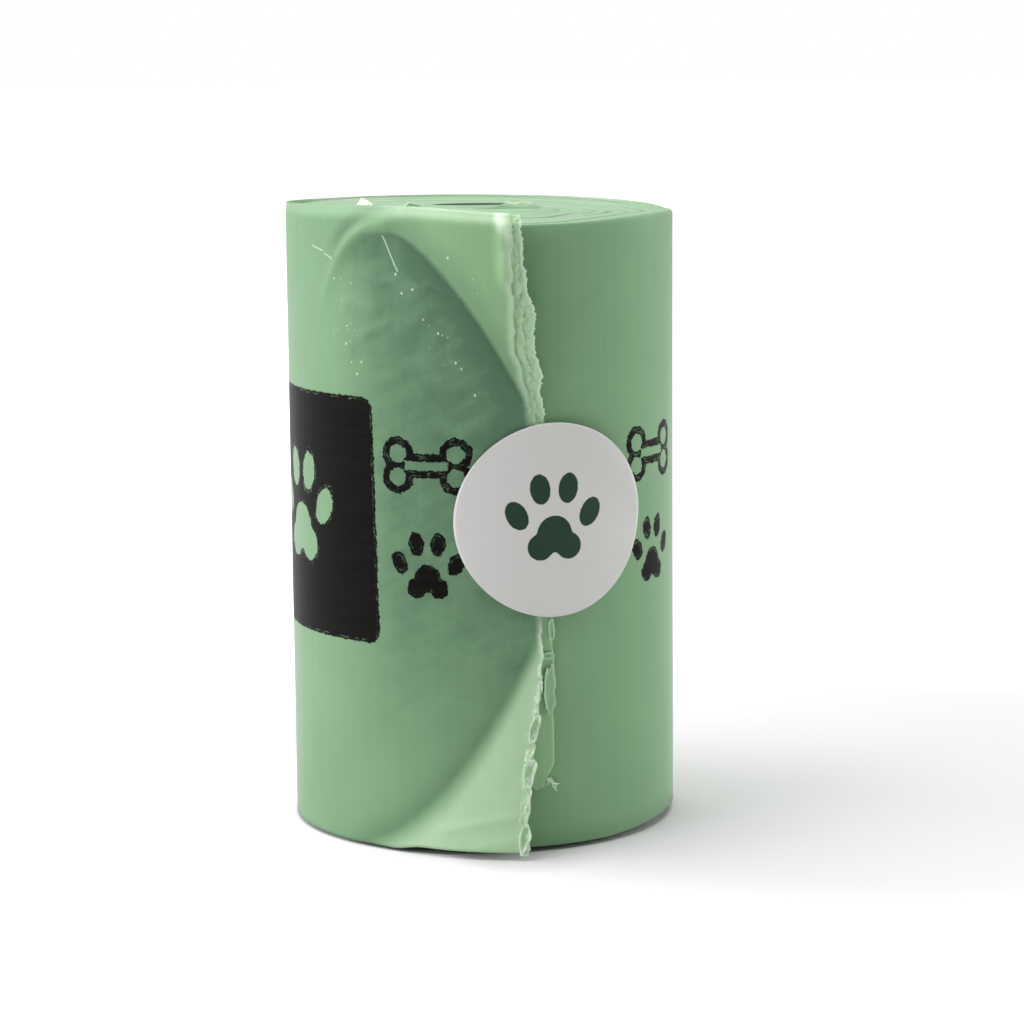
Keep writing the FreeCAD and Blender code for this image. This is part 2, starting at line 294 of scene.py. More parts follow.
    def painted_shade(self, along, z):
        """Painted shade on the sheet between its folds: a broad patch left of the upper fold, darker along
        the upper and lower folds and under the short left fold, and in a valley above that fold.
        """
        past = self.past_upper(along, z)
        over = self.above(self.lower_fold, along, z)
        shaded = 0.8 * ease(along, -17 * MM, 9.5 * MM) * ease(z, 2 * MM, 30 * MM)
        beside = 0.6 * math.exp(min(past, 0.0) / (1.9 * MM))
        beside += 0.25 * math.exp(-max(over, 0.0) / (1.6 * MM))
        between = smooth(0.3 - past / (0.7 * MM)) * smooth(0.3 + over / (0.7 * MM))
        under = -self.above(self.left_leg, along, z)
        beside += 0.15 * hill(under, 1.6 * MM, 1.8 * MM) * smooth(-along / (10 * MM))
        valley = 0.6 * hill(under, -1.3 * MM, 1.2 * MM) * hill(along, -14 * MM, 4 * MM)
        shaded = (shaded + beside * ease(along, -17 * MM, 4 * MM)) * between * smooth(under / (1.2 * MM))
        return shaded + valley

    def curl(self, turned, z):
        """How far the top edge leans in."""
        fade = 0.35 + 0.65 * ease(turned, -90 * DEG, 50 * DEG)
        fade -= 0.25 * hill(turned, -93 * DEG, 35 * DEG)
        return 0.9 * MM * fade * smooth((z - self.top(turned)) / (1.5 * MM) + 1) ** 1.5

    def crumple(self, along, z):
        """Soft unevenness of the sheet where it is loose."""
        loose = smooth(self.lift(along, z) / (0.8 * MM))
        broad = grain(2.0, along, 5, z, 7) * 0.10
        fine = grain(4.0, along + 0.6 * z, 1.6, z - along, 6) * 0.05
        return (broad + fine) * MM * (0.15 + loose)

    def tear(self, z):
        """Where the torn edge crosses the front, measured to the side."""
        high, low = 0.65 * self.roll.length, 0.35 * self.roll.length
        up = ease(z, high, self.roll.length - high) ** 1.5
        down = 1.6 * MM * smooth(1 - z / low) + 0.35 * MM * smooth((30 * MM - z) / (8 * MM))
        return self.tear_x - 1.95 * MM * up - down + 0.4 * MM * hill(z, 53.2 * MM, 1.8 * MM)

    def outer_tear(self, z):
        """The tear of the outer ply, which stops short of the others above the seal."""
        upper = ease(z, self.seal.height, 8 * MM)
        set_back = 1 + 1.25 * hill(z, 50.5 * MM, 10 * MM)
        set_back -= 0.45 * smooth((z - self.roll.length) / MM + 0.2)
        return self.tear(z) - self.torn.upper_set_back * set_back * upper

    def along_at(self, x, z):
        """The place along the web that stands a distance beside the axis at the front."""
        reach = self.turn.radius + self.lift(x, z)
        return math.asin(x / reach) * self.turn.radius

    def point(self, along, z, depth=0.0):
        """The sheet's point at a place on the web, or a depth under it."""
        turned = along / self.turn.radius
        reach = self.turn.radius + self.lift(along, z) + self.crumple(along, z)
        return at(turned, reach - self.curl(turned, z) - depth, z)


# ---- mesh helpers

def polar(point):
    """A point's distance from the axis and its angle from the front."""
    return math.hypot(point.x, point.y), math.atan2(point.x, -point.y)


def round_off(u, v):
    """Maps the unit square onto a disc of radius 1."""
    x, y = 2 * u - 1, 2 * v - 1
    return x * math.sqrt(1 - y * y / 2), y * math.sqrt(1 - x * x / 2)


def map_web(bm, places):
    """Writes where a face's corners lie on the unrolled web, as places gives them, into the UV map."""
    layer = bm.loops.layers.uv.new(WEB_MAP)
    for face in bm.faces:
        for loop, (along, z) in zip(face.loops, places(face)):
            loop[layer].uv = (MAP_START[0] + along / MAP_SPAN, MAP_START[1] + z / MAP_SPAN)


def weigh(bm, looks):
    """Writes what the film is like at every vertex, each from 0 to 1."""
    for name in (PALE, LOOSE, PAINTED_SHADE, ENDS, DEEP):
        layer = bm.verts.layers.float.new(name)
        for vert in bm.verts:
            vert[layer] = looks[vert.index].get(name, 0.0)


def face_out(bm):
    """Turns an open sheet's faces away from the roll's axis."""
    bmesh.ops.recalc_face_normals(bm, faces=bm.faces[:])
    bm.normal_update()
    outward = 0.0
    for face in bm.faces:
        middle = face.calc_center_median()
        outward += face.normal.dot(Vector((middle.x, middle.y, 0))) * face.calc_area()
    if outward < 0:
        bmesh.ops.reverse_faces(bm, faces=bm.faces[:])


def bent_sheet(columns, rows, shape):
    """A sheet bent by a function, which takes how far across and up it is, from 0 to 1.

    The function gives the point, its place on the web and what the film is like there.
    """
    bm = bmesh.new()
    bmesh.ops.create_grid(bm, x_segments=columns, y_segments=rows, size=0.5)
    bm.verts.index_update()
    places, looks = {}, {}
    for vert in bm.verts:
        vert.co, places[vert.index], looks[vert.index] = shape(vert.co.x + 0.5, vert.co.y + 0.5)
    map_web(bm, lambda face: [places[loop.vert.index] for loop in face.loops])
    if any(looks.values()):
        weigh(bm, looks)
    face_out(bm)
    return bm


def join(parts):
    """One mesh out of several, with their attributes."""
    whole = bmesh.new()
    for part in parts:
        mesh = bpy.data.meshes.new("part")
        part.to_mesh(mesh)
        part.free()
        whole.from_mesh(mesh)
        bpy.data.meshes.remove(mesh)
    return whole


def add_piece(name, bm, material, replaced=()):
    for face in bm.faces:
        face.smooth = True
    mesh = bpy.data.meshes.new(name)
    bm.to_mesh(mesh)
    bm.free()
    piece = bpy.data.objects.new(name, mesh)
    bpy.context.scene.collection.objects.link(piece)
    mesh.materials.append(material)
    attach(piece, "root")
    if replaced:
        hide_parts(*replaced)
    return piece


def thicken(piece, thickness, offset=-1.0):
    """Gives a sheet a wall: inward from its face, or outward where the offset is 1."""
    wall = piece.modifiers.new("Thickness", "SOLIDIFY")
    wall.thickness = thickness
    wall.offset = offset


def add_film(name, bm, thickness, material="Plain film", replaced=()):
    """Adds a sheet of film with a wall."""
    thicken(add_piece(name, bm, bpy.data.materials[material], replaced), thickness)


# ---- node helpers

class Field:
    """A socket of a node tree that can be used in sums."""

    def __init__(self, tree, socket):
        self.tree, self.socket = tree, socket

    def node(self, kind, **values):
        made = self.tree.nodes.new(kind)
        for key, value in values.items():
            setattr(made, key, value)
        return made

    def link(self, target, value):
        if isinstance(value, Field):
            self.tree.links.new(value.socket, target)
        else:
            target.default_value = value

    def through(self, kind, inputs, output=0, **values):
        """What comes out of a new node, with its inputs given by name or by number."""
        made = self.node(kind, **values)
        for key, value in inputs.items():
            self.link(made.inputs[key], value)
        return Field(self.tree, made.outputs[output])

    def math(self, operation, *others):
        return self.through("ShaderNodeMath", dict(enumerate((self,) + others)), operation=operation)

    def vector(self, operation, *others):
        output = "Value" if operation in ("LENGTH", "DISTANCE", "DOT_PRODUCT") else "Vector"
        return self.through("ShaderNodeVectorMath", dict(enumerate((self,) + others)), output,
                            operation=operation)

    def scaled(self, factor):
        return self.through("ShaderNodeVectorMath", {0: self, "Scale": factor}, operation="SCALE")

    def stretched(self, x, y):
        return self.vector("MULTIPLY", (x, y, 1.0))

    def rotated(self, turn):
        inputs = {"Vector": self, "Angle": turn}
        return self.through("ShaderNodeVectorRotate", inputs, rotation_type="Z_AXIS")

    def ramp(self, low, high, first=0.0, last=1.0):
        """Goes smoothly from first at low to last at high."""
        inputs = dict(enumerate((self, low, high, first, last)))
        return self.through("ShaderNodeMapRange", inputs, "Result", interpolation_type="SMOOTHSTEP")

    def parts(self):
        made = self.node("ShaderNodeSeparateXYZ")
        self.link(made.inputs[0], self)
        return [Field(self.tree, output) for output in made.outputs]

    def noise(self, scale, detail=2.0, rough=0.5):
        inputs = {"Vector": self, "Scale": scale, "Detail": detail, "Roughness": rough}
        return self.through("ShaderNodeTexNoise", inputs, "Fac")

    def blend(self, share_of_other, other):
        """This colour where the share is 0 and the other where it is 1."""
        colour_a, colour_b, colour_out = 6, 7, 2
        inputs = {"Factor": share_of_other, colour_a: self, colour_b: other}
        return self.through("ShaderNodeMix", inputs, colour_out, data_type="RGBA")

    def __add__(self, other):
        return self.math("ADD", other)

    def __sub__(self, other):
        return self.math("SUBTRACT", other)

    def __mul__(self, other):
        return self.math("MULTIPLY", other)


def combine(tree, x, y, z=0.0):
    made = tree.nodes.new("ShaderNodeCombineXYZ")
    result = Field(tree, made.outputs[0])
    for target, value in zip(made.inputs, (x, y, z)):
        result.link(target, value)
    return result


def attribute(tree, name):
    made = tree.nodes.new("ShaderNodeAttribute")
    made.attribute_name = name
    return Field(tree, made.outputs["Fac"])


def shader_group(name, inputs, outputs):
    """An empty node group, with its inputs as fields and a function that sets its outputs."""
    group = bpy.data.node_groups.new(name, "ShaderNodeTree")
    for label, kind in inputs.items():
        group.interface.new_socket(label, in_out="INPUT", socket_type=kind)
    for label in outputs:
        group.interface.new_socket(label, in_out="OUTPUT", socket_type=FLOAT)
    entry, leave = group.nodes.new("NodeGroupInput"), group.nodes.new("NodeGroupOutput")
    fields = [Field(group, entry.outputs[label]) for label in inputs]

    def finish(*results):
        for target, value in zip(leave.inputs, results):
            group.links.new(value.socket, target)
        return group
    return fields, finish


def use_group(tree, name, **values):
    """Places a node group and gives its outputs as fields."""
    made = tree.nodes.new("ShaderNodeGroup")
    made.node_tree = bpy.data.node_groups[name]
    probe = Field(tree, None)
    for key, value in values.items():
        probe.link(made.inputs[key.replace("_", " ")], value)
    return [Field(tree, socket) for socket in made.outputs]


FLOAT, VECTOR = "NodeSocketFloat", "NodeSocketVector"


def oval(place, x, y, radius, squash=1.0, tilt=0.0):
    """Distance from an oval's edge, below 0 inside."""
    turned = place.vector("SUBTRACT", (x, y, 0.0)).rotated(-tilt)
    away = turned.stretched(1.0, 1.0 / squash).vector("LENGTH")
    return (away - radius) * squash


def paw_group():
    """Distance from the edge of a paw that is one unit wide."""
    (place,), finish = shader_group("Paw", {"Place": VECTOR}, ["Distance"])
    toes = [oval(place, side * out, up, 0.155, 0.68, (90 - side * lean) * DEG)
            for side in (-1, 1) for out, up, lean in ((0.39, 0.06, 28), (0.15, 0.32, 8))]
    pad = oval(place, 0.0, -0.14, 0.185)
    for side in (-1, 1):
        pad = pad.math("SMOOTH_MIN", oval(place, side * 0.15, -0.27, 0.135), 0.06)
    for toe in toes:
        pad = pad.math("MINIMUM", toe)
    return finish(pad)


def bone_group():
    """Distance from the edge of a bone that is one unit long."""
    (place,), finish = shader_group("Bone", {"Place": VECTOR}, ["Distance"])
    height = 5.6 / 9.2
    knob = height / 3.4
    x, y, _ = place.parts()
    beside = x.math("ABSOLUTE") - (0.5 - knob)
    over = y.math("ABSOLUTE") - knob * 0.72
    bar = beside.math("MAXIMUM", over)
    folded = combine(place.tree, x.math("ABSOLUTE"), y.math("ABSOLUTE"))
    ends = oval(folded, 0.5 - knob, height / 2 - knob, knob)
    return finish(bar.math("SMOOTH_MIN", ends, 0.03))


def web_streaks_group():
    """Faint streaks and clouds of drawn film, from its place in millimetres."""
    (place,), finish = shader_group("Film streaks", {"Place": VECTOR}, ["Light", "Grain"])
    streaks = place.stretched(1.5, 0.02).noise(1.0, 3.0)
    cloud = place.noise(0.12, 3.0)
    light = (streaks - 0.5) * 0.12 + (cloud - 0.5) * 0.16 + 1.0
    fine = place.stretched(3.0, 0.06).noise(1.0, 3.0)
    return finish(light, fine)


def trail_group():
    """How near a place is to the line between two others, from 1 on the line to 0 at its width."""
    (place, start, end, width), finish = shader_group(
        "Trail", {"Place": VECTOR, "Start": VECTOR, "End": VECTOR, "Width": FLOAT}, ["Near"])
    run = end.vector("SUBTRACT", start)
    way = place.vector("SUBTRACT", start)
    reach = run.vector("DOT_PRODUCT", run)
    travelled = way.vector("DOT_PRODUCT", run).math("DIVIDE", reach)
    inside = travelled.math("MINIMUM", 1.0).math("MAXIMUM", 0.0)
    off = way.vector("SUBTRACT", run.scaled(inside)).vector("LENGTH")
    return finish(off.math("DIVIDE", width).ramp(0.0, 1.0, 1.0, 0.0))


def material_with(name, **values):
    """A new material and its Principled shader, with plain values set on the shader itself."""
    material = bpy.data.materials.new(name)
    material.use_nodes = True
    shader = material.node_tree.nodes["Principled BSDF"]
    for key, value in values.items():
        shader.inputs[key.replace("_", " ")].default_value = value
    return material, shader


def opaque(colour):
    return tuple(colour) + (1.0,)


def web_place(tree):
    """Place on the web in millimetres, from the UV map."""
    uv = tree.nodes.new("ShaderNodeUVMap")
    uv.uv_map = WEB_MAP
    field = Field(tree, uv.outputs[0]).vector("SUBTRACT", MAP_START + (0.0,))
    return field.vector("MULTIPLY", (MAP_SPAN / MM,) * 2 + (1.0,))


def film_print(tree, place):
    """Distance from the edge of the black print on the film, in millimetres."""
    half, corner, foot, right, slant = 24.3 / 2, 1.3, 20.65, -11.1, 0.026
    paw_size, small_paw, bone_size, line = 12.5, 7.4, 9.2, 0.375
    paws_up, bones_up, rows = 28.5, 38.5, (-5.6, 20.6)
    middle, inner = foot + half, half - corner
    x, y, _ = place.parts()
    across = (x + (y - middle) * slant + (half - right)).math("ABSOLUTE") - inner
    up = (y - middle).math("ABSOLUTE") - inner
    outside = combine(tree, across.math("MAXIMUM", 0.0), up.math("MAXIMUM", 0.0))
    inside = across.math("MAXIMUM", up).math("MINIMUM", 0.0)
    panel = outside.vector("LENGTH") + inside - corner

    def mark(group, centre_x, centre_y, size):
        local = place.vector("SUBTRACT", (centre_x, centre_y, 0.0)).scaled(1.0 / size)
        return use_group(tree, group, Place=local)[0] * size

    inked = panel.math("MAXIMUM", mark("Paw", right - half, middle, paw_size) * -1.0)
    for centre in rows:
        inked = inked.math("MINIMUM", mark("Paw", centre, paws_up, small_paw))
        hollow_bone = (mark("Bone", centre, bones_up, bone_size) + line).math("ABSOLUTE") - line
        inked = inked.math("MINIMUM", hollow_bone)
    return inked


def film_scuffs(tree, place):
    """Scratches, and flecks scattered along lines, as a share of white."""
    # each from x, y to x, y in millimetres, and how far the flecks stray
    scratches = ((-9.8, 60.6, -8.1, 57.3), (-19.6, 59.3, -17.8, 58.9), (-17.4, 58.6, -16.3, 58.2))
    trails = ((-8.1, 57.2, -0.6, 44.6, 1.5), (-15.0, 55.5, -13.0, 47.5, 1.9),
              (-2.5, 58.5, 0.5, 54.0, 1.2))

    def trail(x0, y0, x1, y1, width):
        start, end = (x0, y0, 0.0), (x1, y1, 0.0)
        return use_group(tree, "Trail", Place=place, Start=start, End=end, Width=width)[0]

    spots = place.node("ShaderNodeTexVoronoi")
    place.link(spots.inputs["Vector"], place.stretched(1.7, 1.3))
    spots.inputs["Scale"].default_value = 1.0
    near = Field(tree, spots.outputs["Distance"]).ramp(0.10, 0.24, 1.0, 0.0)
    chosen = Field(tree, spots.outputs["Color"]).parts()[0].ramp(0.2, 0.8)
    flecks = near * chosen
    marks = [trail(*line).ramp(0.1, 0.3) * flecks * 0.8 for line in trails]
    marks += [trail(*line, 0.12) * 0.6 for line in scratches]
    marked = marks[0]
    for mark in marks[1:]:
        marked = marked.math("MAXIMUM", mark)
    return marked


def film_colour(tree, place, light):
    """The film's colour, by how loose and how pale it is, with painted shade in its creases, valleys and
    hollow, and where its edges show.
    """
    film = bpy.context.scene.bag_film
    green = combine(tree, *film.green).blend(attribute(tree, LOOSE), opaque(film.loose))
    combed = place.rotated(-25 * DEG).stretched(0.16, 0.55).noise(1.0, 4.0, 0.55)
    mottle = combed + place.noise(0.3, 3.0, 0.6) - 1.0
    # the painted shade, mottled
    painted_shade = attribute(tree, PAINTED_SHADE) * (mottle * 1.2 + 1.0)
    layers = place.stretched(3.2, 0.09).noise(1.0, 5.0, 0.7).ramp(0.42, 0.62)
    shade = attribute(tree, ENDS) * (layers * -0.3) + 1.0
    light = light * shade * (attribute(tree, DEEP) * -0.75 + 1.0)
    colour = green.blend(painted_shade, opaque(film.shaded)).scaled(light)
    return colour.blend(attribute(tree, PALE), opaque(film.pale))


def ink_over(tree, place, colour):
    """The scuffs and the black print over the film's colour, and where the ink lies."""
    film = bpy.context.scene.bag_film
    colour = colour.blend(film_scuffs(tree, place), opaque(film.pale))
    bleed = (place.noise(1.6, 5.0, 0.8) - 0.5) * 0.95
    distance = film_print(tree, place) + bleed
    inked = distance.ramp(-0.03, 0.05, 1.0, 0.0)
    worn = place.noise(0.9, 4.0, 0.7).ramp(0.48, 0.6)
    rim = (distance + 0.24).math("ABSOLUTE").ramp(0.02, 0.07, 1.0, 0.0) * worn
    # painted sheen: the black is lighter in faint horizontal streaks
    streaks = place.stretched(0.05, 1.6).noise(1.0, 4.0)
    black = combine(tree, *film.ink).scaled(streaks * 1.6 + 0.3)
    return colour.blend(inked * (rim * -0.5 + 1.0), black), inked


def film_material(name, printed):
    """The satin film, with the black print over it or plain."""
    film = bpy.context.scene.bag_film
    material, shader = material_with(name, Roughness=film.gloss, IOR=1.35, Specular_IOR_Level=0.15,
                                     Sheen_Weight=film.sheen, Sheen_Roughness=0.35)
    tree = material.node_tree
    place = web_place(tree)
    light, fine = use_group(tree, "Film streaks", Place=place)
    colour = film_colour(tree, place, light)
    if printed:
        colour, inked = ink_over(tree, place, colour)
        dull = inked.ramp(0.0, 1.0, film.gloss, 0.85)
        dull.link(shader.inputs["Roughness"], dull)
    colour.link(shader.inputs["Base Color"], colour)
    relief = tree.nodes.new("ShaderNodeBump")
    relief.inputs["Strength"].default_value = 0.3
    relief.inputs["Distance"].default_value = 0.04 * MM
    fine.link(relief.inputs["Height"], fine)
    tree.links.new(relief.outputs[0], shader.inputs["Normal"])


def paper_material():
    """The seal's white paper with its dark green paw."""
    seal, paw_size = bpy.context.scene.bag_seal, 9.6
    material, shader = material_with("Seal paper", Roughness=0.6, IOR=1.45)
    tree = material.node_tree
    place = web_place(tree)
    fibre = place.noise(1.4, 4.0, 0.6)
    paper = combine(tree, *seal.paper).scaled((fibre - 0.5) * 0.06 + 1.0)
    paw = use_group(tree, "Paw", Place=place.scaled(1 / paw_size))[0] * paw_size
    rough = (place.noise(3.0, 3.0, 0.6) - 0.5) * 0.12
    colour = paper.blend((paw + rough).ramp(-0.03, 0.04, 1.0, 0.0), opaque(seal.ink))
    colour.link(shader.inputs["Base Color"], colour)
    return material


# ---- the turns

def drum(roll):
    """A plain drum with a hollow, fine enough across its ends to carry the gaps."""
    bm = bmesh.new()
    corners = ((roll.hollow, 0), (roll.radius, 0), (roll.radius, roll.length), (roll.hollow, roll.length))
    outline = [bm.verts.new((radius, 0, z)) for radius, z in corners]
    edges = [bm.edges.new(pair) for pair in zip(outline, outline[1:] + outline[:1])]
    for edge, cuts in zip(edges, (140, 30, 140, 12)):
        bmesh.ops.subdivide_edges(bm, edges=[edge], cuts=cuts)
    bmesh.ops.spin(bm, geom=bm.edges[:], cent=(0, 0, 0), axis=(0, 0, 1), angle=TAU, steps=240,
                   use_merge=True, dvec=(0, 0, 0))
    bmesh.ops.remove_doubles(bm, verts=bm.verts[:], dist=NEAR)
    bm.verts.index_update()
    return bm


def drum_places(web, face, on_end):
    """Where a drum's face lies on the web. The ends and the hollow lie past what is printed."""
    corners = [polar(loop.vert.co) for loop in face.loops]
    last = max(turned for _, turned in corners)
    flat = all(on_end[loop.vert.index] for loop in face.loops)
    inner = all(radius < web.roll.hollow + NEAR for radius, _ in corners)
    for loop, (radius, turned) in zip(face.loops, corners):
        if turned < 0 and last > 2:
            turned += TAU     # a face across the back keeps its corners together
        if flat:
            yield END_PLACE + radius, abs(turned) * 10 * MM
        elif inner:
            yield HOLLOW_PLACE + turned * radius, loop.vert.co.z
        else:
            yield turned * web.turn.radius, loop.vert.co.z


def drum_looks(roll, radius, turned, z, on_end):
    """What the film is like on the drum: pale edges at its ends, painted shade in the hollow and beside
    the tear.
    """
    ends = 1.0 if on_end and radius < roll.radius - 0.5 * roll.rim else 0.0
    deep = 1.0 if radius < roll.hollow + NEAR else 0.0
    # painted shade: the shadow of the loose flap on the turns beside the tear
    beside_tear = hill(turned, 16 * DEG, 20 * DEG) * ease(z, 30 * MM, 12 * MM)
    return {PALE: 0.12 * ends, PAINTED_SHADE: max(deep, 0.25 * beside_tear * (1 - on_end)), ENDS: ends, DEEP: deep}


def wound_turns():
    """The turns under the last one: a drum with rounded rims and a spiral of gaps in each end."""
    web = Web()
    roll = web.roll
    bm = drum(roll)
    on_end, looks = {}, {}
    for vert in bm.verts:
        radius, turned = polar(vert.co)
        upper = vert.co.z > roll.length / 2
        at_end = min(vert.co.z, roll.length - vert.co.z) < NEAR
        gap = end_height(roll, radius, turned, upper) if at_end else 0.0
        vert.co.z += -gap if upper else gap
        vert.co.z += stand_off(roll, radius, turned) * (1 - vert.co.z / roll.length)
        vert.co.z += rim_rise(web, radius, turned) * smooth(2 * vert.co.z / roll.length - 1)
        on_end[vert.index] = at_end
        looks[vert.index] = drum_looks(roll, radius, turned, vert.co.z, at_end)
    bmesh.ops.recalc_face_normals(bm, faces=bm.faces[:])
    bm.normal_update()
    map_web(bm, lambda face: drum_places(web, face, on_end))
    weigh(bm, looks)
    add_piece("wound_turns", bm, bpy.data.materials["Printed film"], ["film_roll"])


def rim_rise(web, radius, turned):
    """How far the turns stand up at the upper end: the outer ones with the last turn, and the core."""
    outer = ease(radius, 8 * MM, 10 * MM)
    raised = stepped_up(web, turned) * outer * smooth((web.roll.radius - 0.3 * MM - radius) / (0.5 * MM))
    return raised + 0.42 * MM * right_side(turned) * outer + core_rise(radius, turned)


def stand_off(roll, radius, turned):
    """How far the outer turns' lower rim stands off the ground."""
    right = roll.raised * hill(turned, 80 * DEG, 80 * DEG)
    front = ease(turned, -50 * DEG, 30 * DEG) * smooth((170 * DEG - turned) / (40 * DEG))
    return max(right, roll.stand * front) * ease(radius, roll.raised_from, 1.2 * MM)


def stepped_up(web, turned):
    """How far the outer turns follow the last turn's top edge, at the left and the back."""
    turned = turned if turned < 60 * DEG else turned - TAU
    step = (0.08 + 0.27 * ease(turned, -120 * DEG, 40 * DEG)) * MM
    covered = ease(turned, -250 * DEG, 50 * DEG) * smooth(-turned / (40 * DEG))
    return max(web.top(turned) - web.roll.length - step, 0.0) * covered


def right_side(turned):
    """1 where the outer turns' upper rim is soft and stands up, to the right of the front."""
    return hill(turned, 62 * DEG, 45 * DEG)


def core_rise(radius, turned):
    """How far the turns around the hollow stand out of the upper end, most at the front."""
    return (0.77 + 0.19 * math.cos(turned)) * MM * smooth((10 * MM - radius) / (5.2 * MM))


def end_height(roll, radius, turned, upper):
    """How far an end of the wound turns lies inside its plane."""
    seed, rim = (3.0, roll.rim + 0.4 * MM * right_side(turned)) if upper else (8.0, 0.3 * roll.rim)
    turns = (radius - roll.gap_first) / roll.gap_pitch - turned / TAU
    nearest = math.floor(turns + 0.5)
    from_gap = abs(turns - nearest) * roll.gap_pitch
    travelled = nearest + turned / TAU
    opened = smooth(0.55 + 1.3 * ripple(travelled * 3.0, seed=seed))
    opened *= 1 - 0.75 * upper * smooth((abs(turned) - 80 * DEG) / (35 * DEG))
    banded = smooth((radius - roll.gap_first) / MM + 0.5) * smooth((18.0 * MM - radius) / MM + 1)
    gap = roll.gap_depth * opened * (1 - smooth(from_gap / (0.22 * MM))) * banded
    wave = 0.16 * MM * (1 + ripple((math.floor(turns) + turned / TAU) * 7.5, seed=seed + 1)) * banded
    over = max(radius - (roll.radius - rim), 0.0)
    return gap + wave + rim - math.sqrt(max(rim ** 2 - over ** 2, 0.0))


def whitened_and_highlit(turned, to_edge, to_top, grown, lower):
    """How white the last turn is: stretched white at its tear, and painted highlight on the bend of its
    top edge and down the corner between the two; at the back the painted highlight lightens the top edge's
    shaded inner face.
    """
    torn = (0.4 + 0.5 * lower) * smooth(1 - to_edge / ((0.9 - 0.3 * lower) * MM))
    near_top = smooth(1 - to_top / (2.5 * MM))
    centre, width = (0.45 + 0.6 * near_top) * MM, (0.9 + 0.35 * near_top) * MM
    # painted highlight down the corner beside the tear
    corner = 0.6 * smooth(1.9 - to_top / (1.6 * MM)) + 0.36 * smooth(1.25 - to_top / (6.5 * MM))
    corner *= hill(to_edge, centre, width)
    # where the top edge carries painted highlight: most at the front right, and at the back over its
    # shaded inner face
    front = 0.25 + 0.75 * ease(turned, -36 * DEG, 20 * DEG)
    front += 0.9 * smooth((-105 * DEG - turned) / (25 * DEG))
    lip = 0.45 * front * grown * smooth(1.1 - to_top / (1.4 * MM))
    return max(torn, lip, corner)


def last_turn():
    """The last turn as one sheet, from where it begins to show to its torn edge."""
    web = Web()
    turn, torn = web.turn, web.torn
    coarse = 0.25     # the share of the columns that the plain stretch up to the bend takes
    start, bend = turn.start * turn.radius, -72 * DEG * turn.radius

    def shape(across, up):
        z = turn.bottom + (web.roll.length - turn.bottom) * up
        lower = smooth((24 * MM - z) / (4 * MM))
        wander = torn.ragged * (ragged(z, 1.0) + 1.2 * lower * grain(7.0, z, 1.6))
        last = web.along_at(web.outer_tear(z) + wander, z)
        if across < coarse:
            along = start + (bend - start) * across / coarse
        else:
            along = bend + (last - bend) * (across - coarse) / (1 - coarse)
        turned, to_edge = along / turn.radius, last - along
        z = web.bottom(turned) + (web.top(turned) - web.bottom(turned)) * up
        grown = ease(turned, turn.start, 60 * DEG)
        sunk = (1 - grown) * (turn.radius - web.roll.radius + 0.03 * MM)
        lip = 0.12 * MM * smooth(1 - to_edge / (0.8 * MM)) * (1 + 1.2 * grain(6.0, z, 0.9))
        lip *= web.free(along, z)
        flared = web.flared(along, z)
        # the pale share is stretched white at the tear, painted highlight on the top edge and corner, and
        # painted light on the flared lower corner; the sheet also gets painted shade between its folds
        white = whitened_and_highlit(turned, to_edge, web.top(turned) - z, grown, lower)
        looks = {PALE: max(white, 0.3 * flared), PAINTED_SHADE: web.painted_shade(along, z),
                 LOOSE: max(smooth(web.lift(along, z) / (1.0 * MM) - 0.2), flared)}
        return web.point(along, z, sunk - lip), (along, z), looks

    add_film("last_turn", bent_sheet(216, 212, shape), turn.sheet, "Printed film", ["black_print"])


def torn_ply(web, short, depth, white, wild, seed):
    """One ply that shows past the outer one, short of the tear by a share of the band's width."""
    low, high = web.seal.height + 8 * MM, web.top(12 * DEG) - 0.2 * MM

    def shape(across, up):
        z = low + (high - low) * up
        tear, outer = web.tear(z), web.outer_tear(z)
        edge = tear - short * (tear - outer) + web.torn.ragged * wild * ragged(z, seed)
        edge = max(edge + 0.14 * MM * grain(seed + 4, z, 0.17), outer - 0.6 * MM)
        first = outer - 1.2 * MM
        x = first + (edge - first) * across
        along = web.along_at(x, z)
        rough = 0.055 * MM * (grain(seed, x, 0.35, z, 2.2) + 0.8 * grain(seed + 1, x, 0.2, z, 0.45))
        mottle = smooth(0.5 + 1.4 * grain(seed + 2, x, 0.3, z, 0.5))
        pale = max(white * smooth(1 - (edge - x) / (0.6 * MM)), 0.12 + 0.25 * mottle)
        return web.point(along, z, depth - rough), (along, z), {PALE: pale, LOOSE: 1.0}

    return bent_sheet(28, 240, shape)


def torn_plies():
    """The plies under the outer one that show as a crumbly band along the tear above the seal."""
    web = Web()
    plies = [torn_ply(web, short=0.5, depth=0.1 * MM, white=0.35, wild=2.4, seed=20.0),
             torn_ply(web, short=0.0, depth=0.2 * MM, white=0.75, wild=1.3, seed=23.0)]
    add_film("torn_plies", join(plies), web.torn.ply)


def second_ply():
    """The ply left lying on the roll beside the lower half of the tear."""
    web = Web()
    torn, seat = web.torn, web.roll.radius + 0.2 * MM
    unprinted = 30 * MM     # moves its place on the web past the print

    def shape(across, up):
        z = torn.second_bottom + (torn.second_top - torn.second_bottom) * up
        from_foot = z - torn.second_bottom
        edge = torn.second_right - 0.9 * MM * smooth(1 - from_foot / (3 * MM))
        edge += 0.14 * MM * grain(31, z, 2.2)
        edge += 0.05 * MM * ragged(z, 33)
        x = torn.second_left + (edge - torn.second_left) * across
        turned = math.asin(x / seat)
        foot = 0.5 * MM * grain(35, x, 0.8) * smooth(1 - from_foot / (2 * MM))
        pale = 0.04 + 0.16 * smooth(1 - min(edge - x, from_foot) / (0.35 * MM))
        place = (turned * web.turn.radius + unprinted, z)
        return at(turned, seat, z + foot), place, {PALE: pale, LOOSE: 0.65}

    add_film("second_ply", bent_sheet(30, 150, shape), torn.ply)


